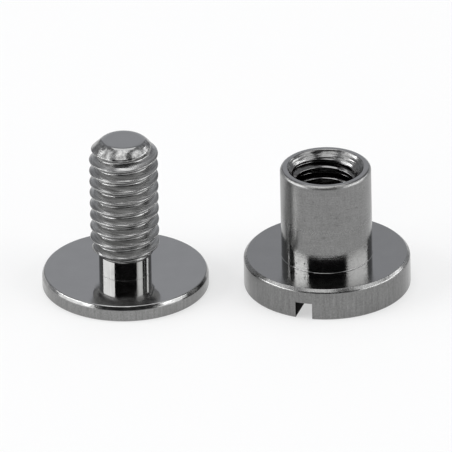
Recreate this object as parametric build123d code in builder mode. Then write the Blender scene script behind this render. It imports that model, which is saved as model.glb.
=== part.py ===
"""Binding barrel screw: a slotted barrel nut and the flat-headed screw that threads into it.

Both are small turned pieces. Here they are taken apart and stand side by side on the outer
faces of their heads, the screw at -X and the barrel at +X, with the tips of both pointing up.
The origin is on the surface that they stand on, midway between the two axes. Millimetres.
"""
import os
from math import radians, tan

from build123d import *

# ---- Thread: ISO metric coarse M4, cut on the screw and tapped in the barrel ----
thread_diameter = 4.0
thread_pitch = 0.7
thread_angle = 60.0
thread_clearance = 0.03  # radial, all round, when the screw is in the barrel

# ---- Screw ----
screw_head_diameter = 9.5
screw_head_thickness = 0.93
screw_rim_radius = 0.3  # rounded edge round the inner face of the head
screw_base_chamfer = 0.1  # broken edge round the outer face of the head
screw_length = 9.25  # from the outer face of the head to the tip
neck_diameter = 3.0  # plain stretch between the head and the thread
neck_length = 1.12
shoulder_length = 0.5  # cone that widens from the neck to the thread
tip_chamfer = 0.75  # lead-in at 45 degrees
tip_edge_radius = 0.6  # rounded edge between the lead-in and the flat tip
screw_thread_start = 188.0  # degrees about the axis from +X, where the groove leaves the neck

# ---- Barrel ----
barrel_head_diameter = 9.5
barrel_head_thickness = 1.88
barrel_rim_chamfer = 0.2  # broken edge round the inner face of the head
barrel_base_chamfer = 0.1  # broken edge round the outer face of the head
barrel_length = 7.38  # from the outer face of the head to the mouth
post_wall = 0.6  # from the thread's full depth to the outside of the post
mouth_chamfer = 0.1  # broken edge round the outside of the mouth
mouth_land = 0.4  # from the outside of the post to the countersink
slot_width = 1.0
slot_depth = 1.0
slot_direction = 74.0  # degrees from +X
web_thickness = 0.8  # between the slot's floor and the point of the bore
drill_point_angle = 118.0
thread_runout = 1.1  # plain stretch of the bore below the thread
barrel_thread_start = 86.0  # degrees about the axis from +X, where the groove begins in the bore

# ---- Placing ----
axis_spacing = 11.5  # between the screw's axis and the barrel's

# ---- Worked out ----
flank_slope = tan(radians(thread_angle / 2))
vee_height = thread_pitch / 2 / flank_slope  # of the sharp vee, before its crest and root are cut off
nominal_radius = thread_diameter / 2
effective_radius = nominal_radius - vee_height * 3 / 8  # where groove and ridge are equally wide

screw_x = -axis_spacing / 2
neck_radius = neck_diameter / 2
neck_top = screw_head_thickness + neck_length
crest_radius = nominal_radius - thread_clearance

barrel_x = axis_spacing / 2
post_radius = nominal_radius + post_wall
bore_radius = (thread_diameter - thread_pitch) / 2  # tap drill: diameter less one pitch
countersink_radius = post_radius - mouth_land
countersink_bottom = barrel_length - (countersink_radius - bore_radius)
bore_point = slot_depth + web_thickness
bore_floor = bore_point + bore_radius / tan(radians(drill_point_angle / 2))
thread_bottom = bore_floor + thread_runout


def thread_chip(axis_x, root_radius, open_radius, middle_radius, bottom, top, start_angle):
    """Helical body that a thread tool takes out between two heights, a little over at both.

    Its vee narrows towards root_radius and is half a pitch wide at middle_radius. It is swept
    one turn at a time, so that each turn has faces of its own.
    """
    root_half = thread_pitch / 4 - abs(root_radius - middle_radius) * flank_slope
    open_half = thread_pitch / 4 + abs(open_radius - middle_radius) * flank_slope
    first = bottom - start_angle / 360 * thread_pitch
    turns = int((top - first) / thread_pitch) + 1
    path = [
        Helix(thread_pitch, thread_pitch, middle_radius, center=(axis_x, 0, first + turn * thread_pitch))
        for turn in range(turns)
    ]
    with BuildPart() as chip:
        with BuildSketch(Plane.XZ.shift_origin((axis_x, 0, 0))):
            with BuildLine():
                Polyline(
                    (root_radius, first - root_half),
                    (open_radius, first - open_half),
                    (open_radius, first + open_half),
                    (root_radius, first + root_half),
                    close=True,
                )
            make_face()
        sweep(path=path, is_frenet=True)
    return chip.part


# ---- Screw: turned blank, then the thread ----
screw_chip = thread_chip(
    axis_x=screw_x,
    root_radius=crest_radius - vee_height * 17 / 24,
    open_radius=nominal_radius,
    middle_radius=effective_radius - thread_clearance,
    bottom=neck_top,
    top=screw_length + thread_pitch,
    start_angle=screw_thread_start,
)
with BuildPart() as screw:
    with BuildSketch(Plane.XZ.shift_origin((screw_x, 0, 0))):
        with BuildLine():
            Polyline(
                (0, 0),
                (screw_head_diameter / 2, 0),
                (screw_head_diameter / 2, screw_head_thickness),
                (neck_radius, screw_head_thickness),
                (neck_radius, neck_top),
                (crest_radius, neck_top + shoulder_length),
                (crest_radius, screw_length - tip_chamfer),
                (crest_radius - tip_chamfer, screw_length),
                (0, screw_length),
                close=True,
            )
        make_face()
    revolve(axis=Axis((screw_x, 0, 0), (0, 0, 1)))
    screw_edges = screw.edges().filter_by(GeomType.CIRCLE).sort_by(Axis.Z)
    screw_base_edge, screw_rim_edge = screw_edges.group_by(SortBy.RADIUS)[-1].sort_by(Axis.Z)
    fillet(screw_edges[-1], tip_edge_radius)
    fillet(screw_rim_edge, screw_rim_radius)
    chamfer(screw_base_edge, screw_base_chamfer)
    add(screw_chip, mode=Mode.SUBTRACT)

# ---- Barrel: turned and drilled blank, then the slot and the thread ----
barrel_chip = thread_chip(
    axis_x=barrel_x,
    root_radius=nominal_radius + vee_height / 24,
    open_radius=bore_radius - thread_clearance,
    middle_radius=effective_radius,
    bottom=thread_bottom,
    top=barrel_length + thread_pitch,
    start_angle=barrel_thread_start,
)
with BuildPart() as barrel:
    with BuildSketch(Plane.XZ.shift_origin((barrel_x, 0, 0))):
        with BuildLine():
            Polyline(
                (0, 0),
                (barrel_head_diameter / 2, 0),
                (barrel_head_diameter / 2, barrel_head_thickness),
                (post_radius, barrel_head_thickness),
                (post_radius, barrel_length),
                (countersink_radius, barrel_length),
                (bore_radius, countersink_bottom),
                (bore_radius, bore_floor),
                (0, bore_point),
                close=True,
            )
        make_face()
    revolve(axis=Axis((barrel_x, 0, 0), (0, 0, 1)))
    barrel_edges = barrel.edges().filter_by(GeomType.CIRCLE)
    barrel_base_edge, barrel_rim_edge = barrel_edges.group_by(SortBy.RADIUS)[-1].sort_by(Axis.Z)
    mouth_edge = barrel_edges.group_by(Axis.Z)[-1].sort_by(SortBy.RADIUS)[-1]
    chamfer(mouth_edge, mouth_chamfer)
    chamfer(barrel_rim_edge, barrel_rim_chamfer)
    chamfer(barrel_base_edge, barrel_base_chamfer)
    with BuildSketch(Plane.XY.shift_origin((barrel_x, 0, 0))):
        Rectangle(2 * barrel_head_diameter, slot_width, rotation=slot_direction)
    extrude(amount=slot_depth, mode=Mode.SUBTRACT)
    add(barrel_chip, mode=Mode.SUBTRACT)

# ---- Write the two pieces ----
os.makedirs("parts", exist_ok=True)

screw.part.label = "screw"
export_step(screw.part, "parts/screw.step")

barrel.part.label = "barrel"
export_step(barrel.part, "parts/barrel.step")
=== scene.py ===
"""Dressed model of a binding barrel screw: the slotted barrel and the screw that threads into it.

Both pieces are turned skins round their own axes, with true helical threads, in bright plate.
"""
from math import ceil, cos, pi, radians, sin, tan
from typing import NamedTuple

import bmesh
import bpy
from bpy.props import FloatProperty, FloatVectorProperty, IntProperty, PointerProperty
from mathutils import Matrix, Vector


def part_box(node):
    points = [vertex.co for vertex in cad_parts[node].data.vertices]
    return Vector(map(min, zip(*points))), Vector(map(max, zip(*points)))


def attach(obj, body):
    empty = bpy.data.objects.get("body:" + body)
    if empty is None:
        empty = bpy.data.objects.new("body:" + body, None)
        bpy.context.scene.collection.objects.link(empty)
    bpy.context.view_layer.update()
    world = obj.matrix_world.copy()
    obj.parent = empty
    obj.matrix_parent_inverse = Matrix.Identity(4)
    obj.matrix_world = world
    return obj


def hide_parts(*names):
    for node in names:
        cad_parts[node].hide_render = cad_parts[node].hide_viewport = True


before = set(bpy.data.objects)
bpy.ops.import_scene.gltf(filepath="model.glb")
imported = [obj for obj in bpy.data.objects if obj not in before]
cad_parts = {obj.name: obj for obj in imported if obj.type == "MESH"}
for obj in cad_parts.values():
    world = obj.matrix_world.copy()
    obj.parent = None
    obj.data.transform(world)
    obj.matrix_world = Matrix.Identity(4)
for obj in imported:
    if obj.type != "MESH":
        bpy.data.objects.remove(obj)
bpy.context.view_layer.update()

bl_info = {
    "name": "Binding Barrel Screw",
    "version": (1, 0, 0),
    "blender": (4, 5, 0),
    "location": "3D View > Sidebar > Binding Screw",
    "description": "Builds a slotted barrel and its screw in bright plate, on a pale studio floor",
    "category": "Object",
}

MM = 0.001
NEAR = 0.0005 * MM  # points this close are one point
SCREW_LOW, SCREW_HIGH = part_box("screw")
BARREL_LOW, BARREL_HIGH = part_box("barrel")


# ---- Properties ----
def length(name, description, value):
    """Property for a size in metres."""
    return FloatProperty(name=name, description=description, default=value, min=0, precision=5, unit="LENGTH")


def angle(name, description, value):
    """Property for an angle, given here in degrees."""
    return FloatProperty(name=name, description=description, default=radians(value), subtype="ANGLE")


def share(name, description, value):
    """Property for a plain number from nothing to one."""
    return FloatProperty(name=name, description=description, default=value, min=0, max=1)


def level(name, description, value):
    """Property for the brightness of a lamp, where one lights a surface about as it is written."""
    return FloatProperty(name=name, description=description, default=value, min=0, max=50)


def colour(name, description, value):
    """Property for a linear colour."""
    return FloatVectorProperty(
        name=name, description=description, default=value, size=3, min=0, max=1, subtype="COLOR"
    )


class ThreadSizes(bpy.types.PropertyGroup):
    """Metric thread shared by both pieces."""

    diameter: length("Diameter", "Nominal diameter of the thread", 4.0 * MM)
    pitch: length("Pitch", "Rise of the thread in one turn", 0.7 * MM)
    flank: angle("Flank angle", "Angle between the two flanks of a groove", 60)
    clearance: length("Clearance", "Radial gap between the screw and the barrel", 0.03 * MM)
    crest_round: length("Crest rounding", "Rounding of the ridges", 0.06 * MM)
    root_round: length("Root rounding", "Rounding of the bottom of the groove", 0.09 * MM)
    columns: IntProperty(name="Columns", description="Steps round a turn", default=224, min=24)


class ScrewSizes(bpy.types.PropertyGroup):
    """Sizes of the screw."""

    head_diameter: length("Head diameter", "Across the head", SCREW_HIGH.x - SCREW_LOW.x)
    length: length("Length", "From the outer face of the head to the tip", SCREW_HIGH.z - SCREW_LOW.z)
    head_thickness: length("Head thickness", "Between the two faces of the head", 0.93 * MM)
    rim_width: length("Rim width", "How far the worn edge of the head reaches inwards", 0.12 * MM)
    rim_drop: length("Rim drop", "How far the worn edge of the head reaches down", 0.24 * MM)
    rim_round: length("Rim rounding", "Upper corner of the worn edge", 0.1 * MM)
    rim_low_round: length("Low rim rounding", "Lower corner of the worn edge", 0.3 * MM)
    base_round: length("Base rounding", "Edge round the outer face of the head", 0.1 * MM)
    neck_diameter: length("Neck diameter", "Across the plain stretch under the thread", 3.0 * MM)
    neck_length: length("Neck length", "Plain stretch between the head and the thread", 1.12 * MM)
    foot_round: length("Foot rounding", "Corner between the neck and the head", 0.006 * MM)
    shoulder: length("Shoulder length", "Cone between the neck and the thread", 0.5 * MM)
    tip_chamfer: length("Tip chamfer", "Height of the lead-in at 45 degrees", 0.75 * MM)
    tip_round: length("Tip rounding", "Edge between the lead-in and the flat tip", 0.6 * MM)
    thread_start: angle("Thread start", "Where the groove leaves the neck, from +X", 188)


class BarrelSizes(bpy.types.PropertyGroup):
    """Sizes of the barrel."""

    head_diameter: length("Head diameter", "Across the head", BARREL_HIGH.x - BARREL_LOW.x)
    length: length("Length", "From the outer face of the head to the mouth", BARREL_HIGH.z - BARREL_LOW.z)
    head_thickness: length("Head thickness", "Between the two faces of the head", 1.88 * MM)
    rim_chamfer: length("Rim chamfer", "Broken edge round the inner face of the head", 0.18 * MM)
    rim_round: length("Rim rounding", "Upper corner of the broken edge", 0.05 * MM)
    rim_low_round: length("Low rim rounding", "Lower corner of the broken edge", 0.16 * MM)
    base_round: length("Base rounding", "Edge round the outer face of the head", 0.1 * MM)
    post_diameter: length("Post diameter", "Across the post", 5.2 * MM)
    foot_round: length("Foot rounding", "Corner between the post and the head", 0.03 * MM)
    mouth_round: length("Mouth rounding", "Outer edge of the mouth", 0.23 * MM)
    mouth_land: length("Mouth land", "Flat ring round the countersink, with its edge", 0.4 * MM)
    lip_round: length("Lip rounding", "Edge between the flat ring and the countersink", 0.1 * MM)
    slot_width: length("Slot width", "Between the walls of the slot", 1.0 * MM)
    slot_depth: length("Slot depth", "From the outer face of the head", 1.0 * MM)
    slot_turn: angle("Slot direction", "Direction of the slot, from +X", 74)
    web: length("Web", "Between the slot and the point of the bore", 0.8 * MM)
    drill_point: angle("Drill point", "Angle of the point of the bore", 118)
    runout: length("Runout", "Plain stretch of the bore below the thread", 1.1 * MM)
    thread_start: angle("Thread start", "Where the groove begins in the bore, from +X", 86)


class PlateFinish(bpy.types.PropertyGroup):
    """Finish of the plated steel."""

    tint: colour("Plate colour", "Reflection of the plate, square on", (0.252, 0.252, 0.250))
    polish: share("Roughness", "Roughness of the clean plate", 0.05)


class StudioLook(bpy.types.PropertyGroup):
    """Floor, surroundings, lamps and camera."""

    floor_tint: colour("Floor colour", "Plain pale floor", (0.78, 0.78, 0.78))
    floor_glow: share("Floor glow", "How far the floor is white to the camera and in the plate", 0.6)
    room_tint: colour("Room colour", "Light from all round", (0.46, 0.465, 0.475))
    flag_tint: colour("Flag colour", "Dark screen behind and over the camera", (0.06, 0.06, 0.06))
    backdrop_tint: colour("Backdrop colour", "Glow of the backdrop behind the object", (0.806, 0.82, 0.865))
    side_tint: colour("Side backdrop colour", "Glow on both sides of the backdrop", (0.46, 0.47, 0.49))
    left_level: level("Left lamp", "Brightness of the strip lamp on the left", 8.6)
    left_upper_level: level("Upper left lamp", "Brightness of the lamp over the left strip", 1.5)
    right_level: level("Right lamp", "Brightness of the strip lamp on the right", 5.8)
    right_upper_level: level("Upper right lamp", "Brightness of the lamp over the right strip", 1.6)
    low_level: level("Low lamps", "Brightness of the lamps under the two strips", 1.9)
    top_level: level("Top lamp", "Brightness of the lamp overhead", 1.7)
    front_level: level("Front lamp", "Brightness of the lamp high over the camera", 2.2)
    heading: angle("Camera heading", "How far the camera stands to the right", 1.04)
    elevation: angle("Camera elevation", "How far the camera looks down", 27.5)
    roll: angle("Camera roll", "Turn of the camera about its line of sight", -1.0)
    field: length("Field", "Width of the camera's field at the object", 25.75 * MM)
    aim_side: length("Aim to the side", "How far right of the middle the camera looks", 0.027 * MM)
    aim_height: length("Aim height", "Height of the point that the camera looks at", 3.63 * MM)


# ---- Turned skins ----
SUPPORT = 0.02 * MM  # ring beside each rounding, so that flats stay flat in the light
ARC_STEP = radians(11)
FLANK_STEPS = 4  # rows over each rounding of the thread
MIDDLE_CUT = 3 / 8  # share of the vee from the nominal radius in to where groove and ridge are equal
SCREW_CUT = 17 / 24  # share of the vee from the screw's crest in to its root
BORE_CUT = 1 / 24  # share of the vee from the nominal radius out to the root in the bore
BITE_BLEND = 0.03 * MM  # rounding where a groove bites into a cone
CONE_BLEND = 0.04 * MM  # rounding where the two cones of the screw's blank would meet
BITE_CLEARANCE = 0.08 * MM  # how far past the last bite of a groove its rows go on


def rounded_outline(corners):
    """Points along corners of (radius, height, rounding), with an arc and two support points at each."""
    points = []
    for index, (radius, height, rounding) in enumerate(corners):
        corner = Vector((radius, height))
        if rounding == 0:
            points.append(corner)
            continue
        before = Vector(corners[index - 1][:2])
        after = Vector(corners[index + 1][:2])
        come = (corner - before).normalized()
        leave = (after - corner).normalized()
        turn = come.angle_signed(leave)
        reach = rounding * tan(abs(turn) / 2)
        side = Vector((-come.y, come.x)) * (-1 if turn > 0 else 1)
        centre = corner - come * reach + side * rounding
        steps = max(2, ceil(abs(turn) / ARC_STEP))
        points.append(corner - come * (reach + SUPPORT))
        for step in range(steps + 1):
            points.append(centre - Matrix.Rotation(-turn * step / steps, 2) @ side * rounding)
        points.append(corner + leave * (reach + SUPPORT))
    return points


def soft_least(one, other, blend):
    """The lesser of two values, with the crossing rounded off over blend."""
    overlap = max(blend - abs(one - other), 0) / blend
    return min(one, other) - overlap * overlap * blend / 4


def vee_height(thread):
    """Height of the sharp vee that the thread is cut from."""
    return thread.pitch / 2 / tan(thread.flank / 2)


class Groove:
    """Thread groove as a radius that depends on the height above the groove's centre line."""

    def __init__(self, thread, middle, bottom, top, outward, first):
        """middle is where groove and ridge are equal; bottom and top are the radii cut off."""
        self.pitch = thread.pitch
        self.first = first
        self.outward = outward
        self.slope = tan(thread.flank / 2)
        self.bottom = bottom
        self.top = top
        self.bottom_half = self.pitch / 4 - abs(bottom - middle) * self.slope
        self.top_half = self.pitch / 4 - abs(top - middle) * self.slope
        self.turn = pi / 2 - thread.flank / 2
        room = tan(self.turn / 2)
        self.bottom_round = min(thread.root_round, self.bottom_half / room)
        self.top_round = min(thread.crest_round, self.top_half / room)
        self.bottom_flat = self.bottom_half - self.bottom_round * room
        self.top_flat = self.pitch / 2 - self.top_half + self.top_round * room

    def stations(self):
        """Heights across one pitch, from the middle of a ridge to the next, dense on the roundings."""
        arc = [sin(self.turn * step / FLANK_STEPS) for step in range(FLANK_STEPS + 1)]
        low = [self.bottom_flat + self.bottom_round * step for step in arc]
        high = [self.top_flat - self.top_round * step for step in reversed(arc)]
        half = sorted(set(low + [(low[-1] + high[0]) / 2] + high))
        return [-step for step in reversed(half)] + half

    def depth(self, offset):
        """How far the surface stands from the bottom of the groove, at this height from its centre."""
        away = abs((offset + self.pitch / 2) % self.pitch - self.pitch / 2)
        whole = abs(self.top - self.bottom)
        if away <= self.bottom_flat:
            return 0.0
        if away >= self.top_flat:
            return whole
        if away < self.bottom_flat + self.bottom_round * sin(self.turn):
            run = (away - self.bottom_flat) / self.bottom_round
            return self.bottom_round * (1 - (1 - run * run) ** 0.5)
        if away > self.top_flat - self.top_round * sin(self.turn):
            run = (self.top_flat - away) / self.top_round
            return whole - self.top_round * (1 - (1 - run * run) ** 0.5)
        return (away - self.bottom_half) / self.slope

    def radius(self, turn, height):
        """Radius of the thread at a turn, in whole turns, and a height."""
        step = self.depth(height - self.first - turn * self.pitch)
        return self.bottom - step if self.outward else self.bottom + step

    def starts(self, low, high):
        """Heights at turn nought of the rows that follow the thread between two heights."""
        rows = []
        turn = int((low - self.first) / self.pitch) - 2
        while self.first + turn * self.pitch < high + self.pitch:
            rows += [self.first + turn * self.pitch + station for station in self.stations()]
            turn += 1
        inside = sorted(row for row in set(rows) if low - self.pitch < row < high)
        return [low - self.pitch] + inside + [high]


def ring(radius, height, columns):
    """One level row of a skin, with its first point repeated at the end."""
    return [(radius, step / columns, height) for step in range(columns + 1)]


def thread_rows(groove, low, high, columns, surface):
    """Rows that follow the thread, held between two heights, with the radius that surface gives."""
    rows = []
    for start in groove.starts(low, high):
        row = []
        for step in range(columns + 1):
            turn = step / columns
            height = min(max(start + turn * groove.pitch, low), high)
            row.append((surface(turn, height), turn, height))
        rows.append(row)
    return rows


def join_rows(skin, grid):
    """Add the faces between each row of points and the next."""
    for below, above in zip(grid, grid[1:]):
        for step in range(len(below) - 1):
            skin.faces.new((below[step], below[step + 1], above[step + 1], above[step]))


def sew(rows, axis):
    """Closed mesh from rows of (radius, turn, height) round an upright axis."""
    skin = bmesh.new()
    grid = []
    for row in rows:
        line = []
        for radius, turn, height in row:
            angle_round = 2 * pi * turn
            place = (axis.x + radius * cos(angle_round), axis.y + radius * sin(angle_round), height)
            line.append(skin.verts.new(place))
        grid.append(line)
    join_rows(skin, grid)
    bmesh.ops.remove_doubles(skin, verts=skin.verts, dist=NEAR)
    return skin


def finish_mesh(skin, name):
    """Mesh with outward faces and smooth light, apart from edges that are already sharp."""
    bmesh.ops.recalc_face_normals(skin, faces=skin.faces)
    for face in skin.faces:
        face.smooth = True
    mesh = bpy.data.meshes.new(name)
    skin.to_mesh(mesh)
    skin.free()
    return mesh


def add_object(name, data):
    """New object in the scene."""
    thing = bpy.data.objects.new(name, data)
    bpy.context.scene.collection.objects.link(thing)
    return thing


def place_piece(mesh, node, material):
    """Put a finished mesh in the place of a CAD node."""
    piece = add_object(mesh.name, mesh)
    mesh.materials.append(material)
    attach(piece, "root")
    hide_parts(node)


def middle_of(low, high):
    """Point of an upright axis, halfway between two corners."""
    return Vector(((low.x + high.x) / 2, (low.y + high.y) / 2, low.z))


# ---- Shader maths ----
class Signal:
    """A socket of a shader, which adds Math nodes where it is used in an expression."""

    def __init__(self, shader, socket):
        self.shader = shader
        self.socket = socket

    def _math(self, operation, first, second):
        return self.shader.node("ShaderNodeMath", {"operation": operation}, {0: first, 1: second})

    def __add__(self, other):
        return self._math("ADD", self, other)

    def __radd__(self, other):
        return self._math("ADD", other, self)

    def __sub__(self, other):
        return self._math("SUBTRACT", self, other)

    def __rsub__(self, other):
        return self._math("SUBTRACT", other, self)

    def __mul__(self, other):
        return self._math("MULTIPLY", self, other)

    def __rmul__(self, other):
        return self._math("MULTIPLY", other, self)

    def __abs__(self):
        return self._math("ABSOLUTE", self, 0)


class Shader:
    """Node tree of a material or world, with one method that adds a node."""

    def __init__(self, owner):
        owner.use_nodes = True
        self.tree = owner.node_tree
        self.tree.nodes.clear()

    def node(self, kind, settings=None, sockets=None, output=0):
        """Add a node, set it up, feed its sockets with values or signals and give one output."""
        node = self.tree.nodes.new(kind)
        for name, value in (settings or {}).items():
            setattr(node, name, value)
        for key, value in (sockets or {}).items():
            if isinstance(value, Signal):
                self.tree.links.new(value.socket, node.inputs[key])
            else:
                node.inputs[key].default_value = value
        return Signal(self, node.outputs[output]) if node.outputs else None

    def ramp(self, value, nought, one):
        """Straight ramp from nought to one between two values, held outside them."""
        return self.node("ShaderNodeMapRange", {}, {"Value": value, "From Min": nought, "From Max": one})

    def stretch(self, vector, factors):
        """Vector with each part multiplied by its own factor."""
        return self.node("ShaderNodeVectorMath", {"operation": "MULTIPLY"}, {0: vector, 1: factors})

    def matte(self, tint, roughness):
        """Dull surface of one colour."""
        return self.node("ShaderNodeBsdfPrincipled", {}, {
            "Base Color": (*tint, 1), "Roughness": roughness, "Specular IOR Level": 0.0,
        })

    def glow(self, tint):
        """Light of one colour, white at its brightest."""
        return self.node("ShaderNodeEmission", {}, {"Color": (*tint, 1), "Strength": 1.0})

    def wear(self, surface):
        """Make a surface the one that the material shows."""
        self.node("ShaderNodeOutputMaterial", {}, {"Surface": surface})


class Turned:
    """Where a point lies on a turned piece: millimetres from its axis and its base, and the way it faces."""

    LEVEL = (0.9, 0.98)  # how far the normal is up or down, from a slope to a level face
    UPRIGHT = (0.4, 0.15)  # the same, from a slope to an upright wall

    def __init__(self, shader, axis):
        self.shader = shader
        place = shader.node("ShaderNodeTexCoord", output="Object")
        facing = shader.node("ShaderNodeNewGeometry", output="Normal")
        from_axis = shader.node("ShaderNodeVectorMath", {"operation": "SUBTRACT"}, {0: place, 1: axis})
        self.place = shader.stretch(from_axis, (1 / MM, 1 / MM, 1 / MM))
        level = shader.stretch(self.place, (1.0, 1.0, 0.0))
        self.radius = shader.node("ShaderNodeVectorMath", {"operation": "LENGTH"}, {0: level}, output="Value")
        self.height = shader.node("ShaderNodeSeparateXYZ", {}, {"Vector": self.place}, output="Z")
        self.upright = shader.node("ShaderNodeSeparateXYZ", {}, {"Vector": facing}, output="Z")
        self.face = shader.ramp(abs(self.upright), *self.LEVEL)
        self.wall = shader.ramp(abs(self.upright), *self.UPRIGHT)

    def past(self, value, edge, blend):
        """One where value is over an edge, nought below it."""
        return self.shader.ramp(value, edge - blend / 2, edge + blend / 2)

    def within(self, value, low, high, blend):
        """One between two edges, nought outside them."""
        return self.past(value, low, blend) * (1 - self.past(value, high, blend))

    def marks(self, across, along, detail):
        """Noise about nought, with so many cells to a millimetre across the axis and along it."""
        drawn = self.shader.stretch(self.place, (across, across, along))
        noise = self.shader.node("ShaderNodeTexNoise", {}, {"Vector": drawn, "Scale": 1.0, "Detail": detail})
        return noise - 0.5


CRISP = 0.02  # millimetres over which one finish gives way to the next at a sharp edge
CLOUDED = (0.10, 0.3)  # where cloud turns into a hazy patch, and how softly


def plate_body(shader, finish, tone, rough, relief):
    """Join tone, roughness and relief in millimetres into bright plate."""
    grey = shader.node("ShaderNodeCombineColor", {}, {"Red": tone, "Green": tone, "Blue": tone})
    first_colour, second_colour, mixed_colour = 6, 7, 2
    tint = shader.node("ShaderNodeMix", {"data_type": "RGBA", "blend_type": "MULTIPLY"}, {
        "Factor": 1.0, first_colour: (*finish.tint, 1), second_colour: grey,
    }, output=mixed_colour)
    bump = shader.node("ShaderNodeBump", {}, {"Strength": 1.0, "Distance": MM, "Height": relief})
    shader.wear(shader.node("ShaderNodeBsdfPrincipled", {}, {
        "Base Color": tint,
        "Metallic": 1.0,
        "Roughness": rough,
        "Normal": bump,
    }))


def screw_plate(axis, sizes, finish):
    """Bright plate of the screw: polished head and neck, duller edges, satin thread. The thread is painted
    lighter overall, with painted shade on its upright walls and sloped ridge tops.
    """
    material = bpy.data.materials.new("screw_plate")
    shader = Shader(material)
    spot = Turned(shader, axis)

    # Edges of the finishes, in millimetres
    head_top = sizes.head_thickness / MM
    foot = head_top + 0.03
    neck_top = head_top + sizes.neck_length / MM
    lead_in = (sizes.length - sizes.tip_chamfer) / MM + 0.05
    haze_start = 4.0

    # Places: each is one on its own surface and nought elsewhere
    shank = spot.past(spot.height, foot, CRISP)
    over_neck = spot.past(spot.height, neck_top, 0.05)
    over_thread = spot.past(spot.height, lead_in, 0.1)
    neck = shank * (1 - over_neck)
    cut = over_neck * (1 - over_thread)
    tip = over_thread * (1 - spot.past(spot.upright, 0.9, 0.04))
    head_face = (1 - shank) * spot.face
    rim = (1 - shank) * spot.wall
    edge = (1 - shank) * (1 - spot.wall) * (1 - spot.face)
    # Sloped, upward-facing parts of the thread, darkened below as painted shade where highlights fall
    ridge_top_painted_shade = spot.within(spot.upright, 0.4, 0.84, 0.1)
    haze = spot.past(spot.radius, haze_start, 1.2)

    # Marks left by tools and use
    grain = spot.marks(13, 13, 3)
    tool = spot.marks(0.8, 16, 2)
    upright_lines = spot.marks(9, 0.7, 3)
    smears = spot.marks(4.5, 0.7, 2)
    cloud = spot.marks(0.9, 0.9, 3)
    blotch = spot.marks(3.5, 3.5, 2)

    tone = (
        1
        + grain * 0.08
        + cloud * 0.12
        + rim * (upright_lines * 0.5 + grain * 0.6)
        + edge * (blotch * 0.7 + 0.1)
        + neck * upright_lines * 0.4
        # Thread: lighter overall as painted light, with painted shade on upright walls and sloped ridge tops;
        # the tool marks are real
        + cut * (0.60 - spot.wall * 0.66 - ridge_top_painted_shade * 0.85 + tool * 2.2)
        + tip * (smears * 2.6 + blotch * 0.4 - 0.04)
    )
    rough = (
        finish.polish
        + head_face * (haze * 0.12 + spot.past(cloud, *CLOUDED) * 0.10)
        + rim * (0.14 + grain * 0.1)
        + neck * (0.02 + cloud * 0.05)
        + cut * (0.19 + blotch * 0.1)
        + tip * (0.15 + blotch * 0.3)
        + edge * (0.13 + blotch * 0.2)
    )
    relief = (
        grain * (0.0004 + rim * 0.0022 + cut * 0.0008 + tip * 0.0005)
        + tool * (cut * 0.018 + tip * 0.003)
        + blotch * (tip * 0.002 + edge * 0.006)
        + upright_lines * rim * 0.001
        + smears * tip * 0.008
    )
    plate_body(shader, finish, tone, rough, relief)
    return material


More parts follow.
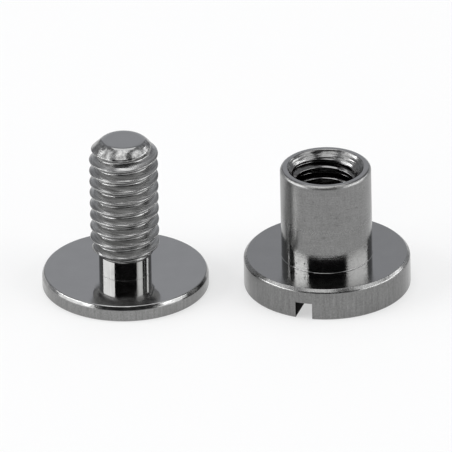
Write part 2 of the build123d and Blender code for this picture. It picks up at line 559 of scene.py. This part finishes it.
def barrel_plate(axis, sizes, finish):
    """Bright plate of the barrel: satin post and rim, polished head, turned mouth, with painted shade in the
    slot, in the bore and towards the top of the post.
    """
    material = bpy.data.materials.new("barrel_plate")
    shader = Shader(material)
    spot = Turned(shader, axis)

    # Edges of the finishes, in millimetres
    foot = sizes.head_thickness / MM + 0.04
    post_skin = sizes.post_diameter / MM / 2 - 0.1
    rim_skin = sizes.head_diameter / MM / 2 - 0.4
    slot_end = sizes.head_diameter / MM / 2 - 0.05
    slot_bottom = 0.03
    slot_top = sizes.slot_depth / MM + 0.03
    mouth = sizes.length / MM
    sink_bottom = mouth - 0.62
    bore_top = mouth - 0.1
    haze_start = 3.8

    # Places: each is one on its own surface and nought elsewhere
    outside = spot.past(spot.radius, post_skin, CRISP)
    high = spot.past(spot.height, foot, CRISP)
    post = high * outside
    head_face = (1 - high) * spot.face
    rim = (1 - high) * spot.past(spot.radius, rim_skin, CRISP) * (1 - spot.face)
    edge = (1 - spot.wall) * (1 - spot.face) * outside
    sink = (1 - outside) * spot.past(spot.height, sink_bottom, 0.04) * (1 - spot.face)
    bore = (1 - outside) * (1 - sink) * (1 - spot.past(spot.height, bore_top, 0.1)) * high
    slot_height = spot.within(spot.height, slot_bottom, slot_top, CRISP)
    # Slot walls and ceiling, darkened below as painted shade
    slot = (1 - spot.past(spot.radius, slot_end, CRISP)) * slot_height
    haze = spot.past(spot.radius, haze_start, 1.6)
    # Painted shade: the post is darkened towards its top
    post_top_painted_shade = spot.past(spot.height, 3.0, 1.2)
    dull_up = spot.past(spot.height, 3.5, 2.7)

    # Marks left by tools and use
    grain = spot.marks(13, 13, 3)
    tool = spot.marks(1, 20, 2)
    chatter = spot.marks(0.6, 6, 1)
    upright_lines = spot.marks(9, 0.7, 3)
    cloud = spot.marks(0.9, 0.9, 3)
    blotch = spot.marks(3.5, 3.5, 2)
    dings = spot.past(spot.marks(2.3, 2.3, 1), 0.22, 0.06)

    tone = (
        0.89
        + grain * 0.10
        + cloud * 0.12
        + rim * (upright_lines * 0.5 + grain * 0.6 - 0.06)
        + edge * (blotch * 0.5 + 0.12)
        # Post: real tool marks, lines, grain and dings, with painted shade darkening it towards the top
        + post * (tool * 0.3 + upright_lines * 0.2 + grain * 0.6 - dings * 0.15 - post_top_painted_shade * 0.1 + 0.1)
        + sink * (tool * 0.8 + blotch * 0.6 - 0.15)
        # Painted shade: the threaded bore is darkened
        - bore * 0.2
        # Painted shade: the slot's walls and ceiling are darkened nearly to black
        - slot * 0.86
        - head_face * 0.08
    )
    rough = (
        finish.polish
        + head_face * (haze * 0.14 + spot.past(cloud, *CLOUDED) * 0.10)
        + rim * (0.14 + grain * 0.1)
        + post * (0.02 + grain * 0.1 + dull_up * 0.24)
        + edge * (0.07 + blotch * 0.2)
        + sink * (0.14 + blotch * 0.15)
        + bore * 0.06
        + slot * 0.85
    )
    relief = (
        grain * (0.0004 + rim * 0.0022 + post * 0.0025 + sink * 0.001)
        + tool * (post * 0.002 + sink * 0.01)
        + chatter * sink * 0.06
        + blotch * (post * 0.005 + sink * 0.006 + edge * 0.004)
        + rim * upright_lines * 0.001
        - post * dings * 0.006
    )
    plate_body(shader, finish, tone, rough, relief)
    return material


# ---- Screw ----
class BINDSCREW_OT_screw(bpy.types.Operator):
    """Build the flat-headed screw with its thread"""

    bl_idname = "bindscrew.screw"
    bl_label = "Screw"

    def execute(self, context):
        sizes = context.scene.screw_sizes
        thread = context.scene.thread_sizes
        finish = context.scene.plate_finish
        columns = thread.columns
        vee = vee_height(thread)
        crest = thread.diameter / 2 - thread.clearance
        neck = sizes.neck_diameter / 2
        neck_top = sizes.head_thickness + sizes.neck_length
        rise = (crest - neck) / sizes.shoulder
        tip_radius = crest - sizes.tip_chamfer
        groove = Groove(
            thread,
            middle=crest - vee * MIDDLE_CUT,
            bottom=crest - vee * SCREW_CUT,
            top=crest,
            outward=False,
            first=neck_top - sizes.thread_start / (2 * pi) * thread.pitch,
        )
        cone_end = sizes.length - (groove.bottom - tip_radius) + BITE_CLEARANCE

        def surface(turn, height):
            shoulder = neck + max(height - neck_top, 0) * rise
            lead_in = tip_radius + sizes.length - height
            blank = soft_least(shoulder, lead_in, CONE_BLEND)
            if height <= neck_top:
                return neck
            return soft_least(blank, groove.radius(turn, height), BITE_BLEND)

        head = rounded_outline([
            (0, 0, 0),
            (sizes.head_diameter / 2, 0, sizes.base_round),
            (sizes.head_diameter / 2, sizes.head_thickness - sizes.rim_drop, sizes.rim_low_round),
            (sizes.head_diameter / 2 - sizes.rim_width, sizes.head_thickness, sizes.rim_round),
            (neck, sizes.head_thickness, sizes.foot_round),
            (neck, neck_top - SUPPORT, 0),
        ])
        tip = rounded_outline([
            (tip_radius + sizes.length - cone_end, cone_end, 0),
            (tip_radius, sizes.length, sizes.tip_round),
            (0, sizes.length, 0),
        ])
        rows = [ring(*point, columns) for point in head]
        rows += thread_rows(groove, neck_top, cone_end, columns, surface)
        rows += [ring(*point, columns) for point in tip[1:]]
        axis = middle_of(SCREW_LOW, SCREW_HIGH)
        mesh = finish_mesh(sew(rows, axis), "turned_screw")
        place_piece(mesh, "screw", screw_plate(axis, sizes, finish))
        return {"FINISHED"}


# ---- Barrel ----
def walk_rim(skin):
    """Vertices round the one open edge of a skin, in order."""
    rim = [edge for edge in skin.edges if edge.is_boundary]
    loop = [rim[0].verts[0]]
    edge = rim[0]
    while True:
        vert = edge.other_vert(loop[-1])
        if vert == loop[0]:
            return loop
        loop.append(vert)
        edge = next(other for other in vert.link_edges if other.is_boundary and other is not edge)


def cut_slot(skin, axis, sizes):
    """Mill the screwdriver slot across the outer face of the head."""
    across = Vector((-sin(sizes.slot_turn), cos(sizes.slot_turn), 0))
    half = sizes.slot_width / 2
    floor = sizes.slot_depth
    for side in (-half, half):
        low_faces = [face for face in skin.faces if face.calc_center_median().z < floor]
        low_parts = dict.fromkeys(part for face in low_faces for part in (*face.edges, *face.verts))
        bmesh.ops.bisect_plane(
            skin, geom=[*low_faces, *low_parts], plane_co=axis + across * side, plane_no=across, dist=NEAR
        )
    inside = [
        face for face in skin.faces
        if face.calc_center_median().z < floor
        and abs((face.calc_center_median() - axis).dot(across)) < half - NEAR
    ]
    bmesh.ops.delete(skin, geom=inside, context="FACES")
    loop = walk_rim(skin)
    outlines = [[vert for vert in loop if abs(vert.co.z - floor) < 2 * NEAR]]
    for side in (-half, half):
        outlines.append([vert for vert in loop if abs((vert.co - axis).dot(across) - side) < 2 * NEAR])
    for outline in outlines:
        face = skin.faces.new(outline)
        for edge in face.edges:
            edge.smooth = False


class BINDSCREW_OT_barrel(bpy.types.Operator):
    """Build the slotted barrel with its threaded bore"""

    bl_idname = "bindscrew.barrel"
    bl_label = "Barrel"

    def execute(self, context):
        sizes = context.scene.barrel_sizes
        thread = context.scene.thread_sizes
        finish = context.scene.plate_finish
        columns = thread.columns
        vee = vee_height(thread)
        bore = (thread.diameter - thread.pitch) / 2
        post = sizes.post_diameter / 2
        sink = post - sizes.mouth_land
        bore_point = sizes.slot_depth + sizes.web
        bore_floor = bore_point + bore / tan(sizes.drill_point / 2)
        thread_bottom = bore_floor + sizes.runout
        groove = Groove(
            thread,
            middle=thread.diameter / 2 - vee * MIDDLE_CUT,
            bottom=thread.diameter / 2 + vee * BORE_CUT,
            top=bore,
            outward=True,
            first=thread_bottom - sizes.thread_start / (2 * pi) * thread.pitch,
        )
        cone_top = sizes.length - (sink - groove.bottom) + BITE_CLEARANCE

        def surface(turn, height):
            cone = sink - sizes.length + height
            runs_in = min(max((height - thread_bottom + thread.pitch) / thread.pitch, 0), 1)
            cut = bore + (groove.radius(turn, height) - bore) * runs_in
            return -soft_least(-max(cone, bore), -cut, BITE_BLEND) if runs_in > 0 else bore

        outside = rounded_outline([
            (0, 0, 0),
            (sizes.head_diameter / 2, 0, sizes.base_round),
            (sizes.head_diameter / 2, sizes.slot_depth, 0),
            (sizes.head_diameter / 2, sizes.head_thickness - sizes.rim_chamfer, sizes.rim_low_round),
            (sizes.head_diameter / 2 - sizes.rim_chamfer, sizes.head_thickness, sizes.rim_round),
            (post, sizes.head_thickness, sizes.foot_round),
            (post, sizes.length, sizes.mouth_round),
            (sink, sizes.length, sizes.lip_round),
            (sink - sizes.length + cone_top, cone_top, 0),
        ])
        rows = [ring(*point, columns) for point in outside[:-1]]
        rows += reversed(thread_rows(groove, thread_bottom - thread.pitch, cone_top, columns, surface))
        rows.append(ring(bore, bore_floor, columns))
        rows.append(ring(0, bore_point, columns))
        axis = middle_of(BARREL_LOW, BARREL_HIGH)
        skin = sew(rows, axis)
        cut_slot(skin, axis, sizes)
        mesh = finish_mesh(skin, "turned_barrel")
        place_piece(mesh, "barrel", barrel_plate(axis, sizes, finish))
        return {"FINISHED"}


# ---- Stage ----
FLOOR_REACH = 3.0
FLOOR_WHITE = (0.96, 0.96, 0.96)  # what the floor shows to the camera and in the plate
LAMP_DISTANCE = 0.6
STRIP_ELEVATION = 27.5  # the two strip lamps stand as high as the camera, so upright walls mirror them
STRIP_HEIGHT = 0.10
SCREEN_STEPS = (24, 12)  # faces across a screen and up it
CAMERA_FIELDS = 10  # how many fields the camera stands away
VIEW_END = 20.0


def strip_width(half_angle):
    """Width of a strip lamp that reaches half_angle degrees to both sides of its middle."""
    return 2 * LAMP_DISTANCE * cos(radians(STRIP_ELEVATION)) * tan(radians(half_angle))


class Lamp(NamedTuple):
    """Even rectangular lamp: its place in degrees, its size in metres and the property of its level."""

    azimuth: float
    elevation: float
    width: float
    height: float
    level: str


class Screen(NamedTuple):
    """Curved screen: the degrees that it spans, how far off it is and the property of its colour."""

    azimuths: tuple
    elevations: tuple
    distance: float
    tint: str
    glows: bool


LAMPS = {
    "left_lamp": Lamp(-80.5, STRIP_ELEVATION, strip_width(31.5), STRIP_HEIGHT, "left_level"),
    "right_lamp": Lamp(88, STRIP_ELEVATION, strip_width(36), STRIP_HEIGHT, "right_level"),
    "left_upper_lamp": Lamp(-90, 47, 0.30, 0.30, "left_upper_level"),
    "right_upper_lamp": Lamp(74, 49, 0.30, 0.28, "right_upper_level"),
    "left_low_lamp": Lamp(-70, 12, 0.68, 0.19, "low_level"),
    "right_low_lamp": Lamp(72, 12, 0.66, 0.19, "low_level"),
    "top_lamp": Lamp(180, 72, 0.34, 0.38, "top_level"),
    "front_lamp": Lamp(-17, 72.5, 0.32, 0.38, "front_level"),
}
SCREENS = {
    "black_flag": Screen((-49, 52), (8, 82), 1.0, "flag_tint", False),
    "backdrop": Screen((158, 202), (3, 44), 1.0, "backdrop_tint", True),
    "backdrop_sides": Screen((135, 225), (3, 50), 1.05, "side_tint", True),
}


def toward(azimuth, elevation):
    """Direction from the object: azimuth from the camera's side, turning to its right."""
    return Vector((
        sin(azimuth) * cos(elevation), -cos(azimuth) * cos(elevation), sin(elevation),
    ))


def between(ends, step, steps):
    """Angle at a step of the way between two, which are given in degrees."""
    return radians(ends[0] + (ends[1] - ends[0]) * step / steps)


def add_screen(name, screen, tint):
    """Hang a curved screen of one plain colour round the object."""
    across, up = SCREEN_STEPS
    skin = bmesh.new()
    grid = []
    for row in range(up + 1):
        elevation = between(screen.elevations, row, up)
        grid.append([
            skin.verts.new(screen.distance * toward(between(screen.azimuths, step, across), elevation))
            for step in range(across + 1)
        ])
    join_rows(skin, grid)
    mesh = bpy.data.meshes.new(name)
    skin.to_mesh(mesh)
    skin.free()
    material = bpy.data.materials.new(name)
    shader = Shader(material)
    shader.wear(shader.glow(tint) if screen.glows else shader.matte(tint, 1.0))
    mesh.materials.append(material)
    add_object(name, mesh)


def add_lamp(name, lamp, level):
    """Aim a soft rectangular lamp of an even brightness at the object."""
    light = bpy.data.lights.new(name, "AREA")
    light.shape = "RECTANGLE"
    light.size = lamp.width
    light.size_y = lamp.height
    light.energy = level * pi * lamp.width * lamp.height
    way = toward(radians(lamp.azimuth), radians(lamp.elevation))
    thing = add_object(name, light)
    thing.location = way * LAMP_DISTANCE
    thing.rotation_euler = way.to_track_quat("Z", "Y").to_euler()


class BINDSCREW_OT_stage(bpy.types.Operator):
    """Lay the floor, light the object and aim the camera"""

    bl_idname = "bindscrew.stage"
    bl_label = "Stage"

    def execute(self, context):
        look = context.scene.studio_look
        self.lay_floor(look)
        self.light_room(context, look)
        self.aim_camera(context, look)
        return {"FINISHED"}

    def lay_floor(self, look):
        """Pale floor that the two heads stand on, whiter to the camera and in the plate."""
        reach = FLOOR_REACH
        mesh = bpy.data.meshes.new("floor")
        corners = [(-reach, -reach, 0), (reach, -reach, 0), (reach, reach, 0), (-reach, reach, 0)]
        mesh.from_pydata(corners, [], [(0, 1, 2, 3)])
        material = bpy.data.materials.new("floor")
        shader = Shader(material)
        seen = shader.node("ShaderNodeLightPath", output="Is Camera Ray")
        mirrored = shader.node("ShaderNodeLightPath", output="Is Glossy Ray")
        shader.wear(shader.node("ShaderNodeMixShader", {}, {
            0: (seen + mirrored) * look.floor_glow,
            1: shader.matte(look.floor_tint, 0.9),
            2: shader.glow(FLOOR_WHITE),
        }))
        mesh.materials.append(material)
        add_object("floor", mesh)

    def light_room(self, context, look):
        """Even room light, lamps at both sides, overhead and in front, a dark flag and a backdrop."""
        world = bpy.data.worlds.new("room")
        shader = Shader(world)
        glow = shader.node("ShaderNodeBackground", {}, {"Color": (*look.room_tint, 1), "Strength": 1.0})
        shader.node("ShaderNodeOutputWorld", {}, {"Surface": glow})
        context.scene.world = world
        for name, lamp in LAMPS.items():
            add_lamp(name, lamp, getattr(look, lamp.level))
        for name, screen in SCREENS.items():
            add_screen(name, screen, getattr(look, screen.tint))

    def aim_camera(self, context, look):
        """Parallel view, so that upright edges stay upright."""
        data = bpy.data.cameras.new("camera")
        data.type = "ORTHO"
        data.ortho_scale = look.field
        data.clip_start = look.field
        data.clip_end = VIEW_END
        way = toward(look.heading, look.elevation)
        turn = way.to_track_quat("Z", "Y").to_matrix() @ Matrix.Rotation(look.roll, 3, "Z")
        aim = Vector((look.aim_side, 0, look.aim_height))
        camera = add_object("camera", data)
        camera.matrix_world = Matrix.Translation(aim + way * CAMERA_FIELDS * look.field) @ turn.to_4x4()
        context.scene.camera = camera
        context.scene.view_settings.view_transform = "Standard"


class BINDSCREW_PT_panel(bpy.types.Panel):
    """Sizes, finish and steps of the binding barrel screw"""

    bl_idname = "BINDSCREW_PT_panel"
    bl_label = "Binding Barrel Screw"
    bl_space_type = "VIEW_3D"
    bl_region_type = "UI"
    bl_category = "Binding Screw"

    def draw(self, context):
        for name, group in GROUPS.items():
            box = self.layout.box()
            box.label(text=group.__doc__)
            for field in group.__annotations__:
                box.prop(getattr(context.scene, name), field)
        for step in STEPS:
            self.layout.operator(step.bl_idname)


GROUPS = {
    "thread_sizes": ThreadSizes,
    "screw_sizes": ScrewSizes,
    "barrel_sizes": BarrelSizes,
    "plate_finish": PlateFinish,
    "studio_look": StudioLook,
}
STEPS = (BINDSCREW_OT_screw, BINDSCREW_OT_barrel, BINDSCREW_OT_stage)


def register():
    """Make the properties, operators and panel known."""
    for name, group in GROUPS.items():
        bpy.utils.register_class(group)
        setattr(bpy.types.Scene, name, PointerProperty(type=group))
    for kind in (*STEPS, BINDSCREW_PT_panel):
        bpy.utils.register_class(kind)


def unregister():
    """Take them away again."""
    for kind in (BINDSCREW_PT_panel, *reversed(STEPS)):
        bpy.utils.unregister_class(kind)
    for name, group in reversed(GROUPS.items()):
        delattr(bpy.types.Scene, name)
        bpy.utils.unregister_class(group)


def main():
    """Build every piece and the stage."""
    register()
    bpy.ops.bindscrew.screw()
    bpy.ops.bindscrew.barrel()
    bpy.ops.bindscrew.stage()


if __name__ == "__main__":
    main()
